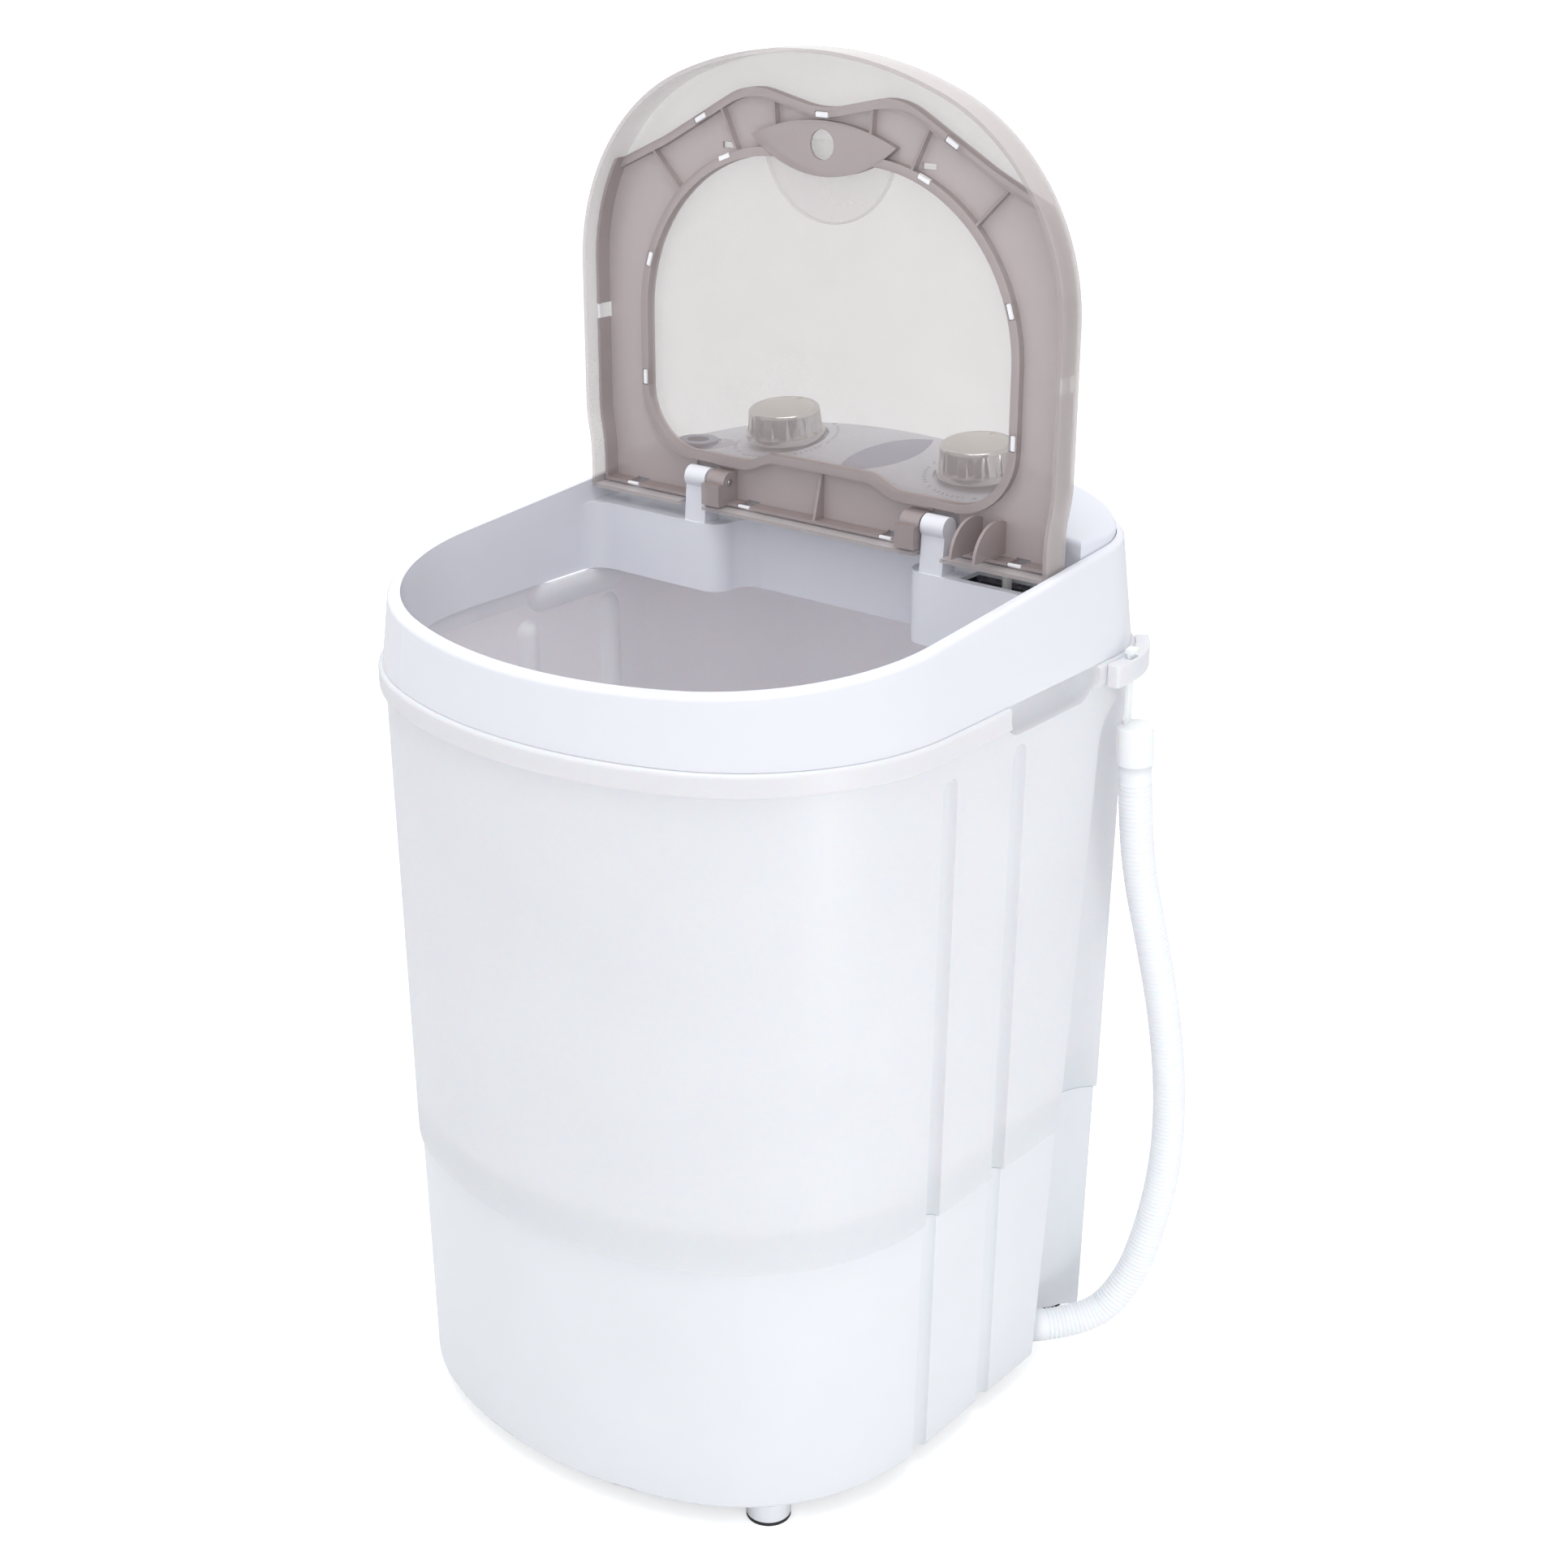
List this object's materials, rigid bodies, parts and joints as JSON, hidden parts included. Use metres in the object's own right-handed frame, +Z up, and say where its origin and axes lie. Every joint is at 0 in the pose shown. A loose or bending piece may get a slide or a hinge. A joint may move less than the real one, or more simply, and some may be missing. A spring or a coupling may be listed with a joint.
{
  "type": "portable washing machine",
  "caption": "Portable top-loading washing machine with an open hinged lid, dial controls, a ribbed drain hose and a wash disc driven by a belt.",
  "frame": {"origin": "on the floor below the middle of the plan, without the hose", "axes": "+Z up, -Y toward the round front, +X toward the side with the drain hose"},
  "size_m": [0.3919, 0.362, 0.7594],
  "materials": {
    "tub_milky": "satin milky polypropylene",
    "base_white": "satin",
    "base_grey": "matt",
    "foot_white": "satin",
    "rubber_dark": "matt",
    "frame_white": "gloss",
    "steel_pin": "drawn",
    "lid_smoke": "clear smoked",
    "lid_frame_smoke": "clear smoked",
    "console_grey": "gloss",
    "leaf_lilac": "gloss",
    "inlet_blue_grey": "gloss",
    "knob_silver": "vacuum metallised plastic",
    "cap_cream": "gloss",
    "shaft_steel": "turned",
    "timer_black": "matt",
    "switch_black": "matt",
    "plunger_white": "matt",
    "spring_steel": "drawn wire",
    "tray_white": "satin",
    "screw_steel": "zinc plated",
    "pulsator_blue_white": "satin",
    "housing_black": "matt glass filled",
    "bush_bronze": "sintered",
    "pulley_grey": "matt",
    "pulley_alloy": "turned",
    "motor_steel": "satin",
    "bracket_zinc": "zinc plated",
    "capacitor_shell": "satin",
    "grille_white": "satin",
    "drain_grey": "satin",
    "hose_milky": "satin",
    "hose_cap_milky": "satin"
  },
  "bodies": {
    "housing": {"tub": "tub_milky", "base_housing": "base_white", "bottom_cover": "base_grey", "feet": "foot_white", "foot_pads": "rubber_dark", "top_frame": "frame_white", "hinge_pins": "steel_pin", "console": "console_grey", "leaf_panel": "leaf_lilac", "water_inlet": "inlet_blue_grey", "timers": "timer_black", "timer_nuts": "shaft_steel", "switch_body": "switch_black", "splash_tray": "tray_white", "tray_screws": "screw_steel", "cover_screws": "screw_steel", "bearing_housing": "housing_black", "shaft_bushes": "bush_bronze", "shaft_seal": "rubber_dark", "bearing_screws": "screw_steel", "drive_belt": "rubber_dark", "motor": "motor_steel", "motor_bracket": "bracket_zinc", "motor_bushes": "rubber_dark", "motor_screws": "screw_steel", "capacitor": "capacitor_shell", "capacitor_clip": "bracket_zinc", "drain_grille": "grille_white", "drain_elbow": "drain_grey", "outlet_nut": "foot_white", "drain_hose": "hose_milky", "hose_cap": "hose_cap_milky", "hose_bracket": "tub_milky", "cord_gland": "rubber_dark"},
    "lid": {"lid_cover": "lid_smoke", "lid_frame": "lid_frame_smoke"},
    "wash_dial": {"wash_knob": "knob_silver", "wash_knob_cap": "cap_cream", "wash_timer_shaft": "shaft_steel"},
    "spin_dial": {"spin_knob": "knob_silver", "spin_knob_cap": "cap_cream", "spin_timer_shaft": "shaft_steel"},
    "agitator": {"pulsator": "pulsator_blue_white", "pulsator_cap": "pulsator_blue_white", "pulsator_screw": "screw_steel", "drive_shaft": "shaft_steel", "drive_pulley": "pulley_grey"},
    "rotor": {"motor_pulley": "pulley_alloy", "motor_shaft": "shaft_steel"},
    "switch_button": {"switch_plunger": "plunger_white", "switch_spring": "spring_steel"}
  },
  "joints": [
    {"name": "lid_hinge", "type": "hinge", "parent": "housing", "child": "lid", "pos_m": [0, 0.0755, 0.51548], "axis": [1, 0, 0], "range_deg": [0, 94.8]},
    {"name": "wash_dial_turn", "type": "hinge", "parent": "housing", "child": "wash_dial", "pos_m": [-0.0684, 0.1355, 0.5302], "axis": [0, 0.1097, -0.994], "range_deg": [0, 300]},
    {"name": "spin_dial_turn", "type": "hinge", "parent": "housing", "child": "spin_dial", "pos_m": [0.0684, 0.1355, 0.5302], "axis": [0, 0.1097, -0.994], "range_deg": [0, 300]},
    {"name": "pulsator_spin", "type": "hinge", "parent": "housing", "child": "agitator", "pos_m": [0, -0.0055, 0.19], "axis": [0, 0, 1], "continuous": true},
    {"name": "motor_spin", "type": "hinge", "parent": "housing", "child": "rotor", "pos_m": [0, 0.1085, 0.09], "axis": [0, 0, 1], "continuous": true},
    {"name": "switch_press", "type": "slide", "parent": "housing", "child": "switch_button", "axis": [0, 0, -1], "range_m": [0, 0.002], "stiffness_N_per_m": 250, "springref_m": -0.001, "deforming": ["switch_spring"]}
  ],
  "couplings": [
    {"joint": "motor_spin", "follows": "pulsator_spin", "ratio": 5.3802}
  ]
}
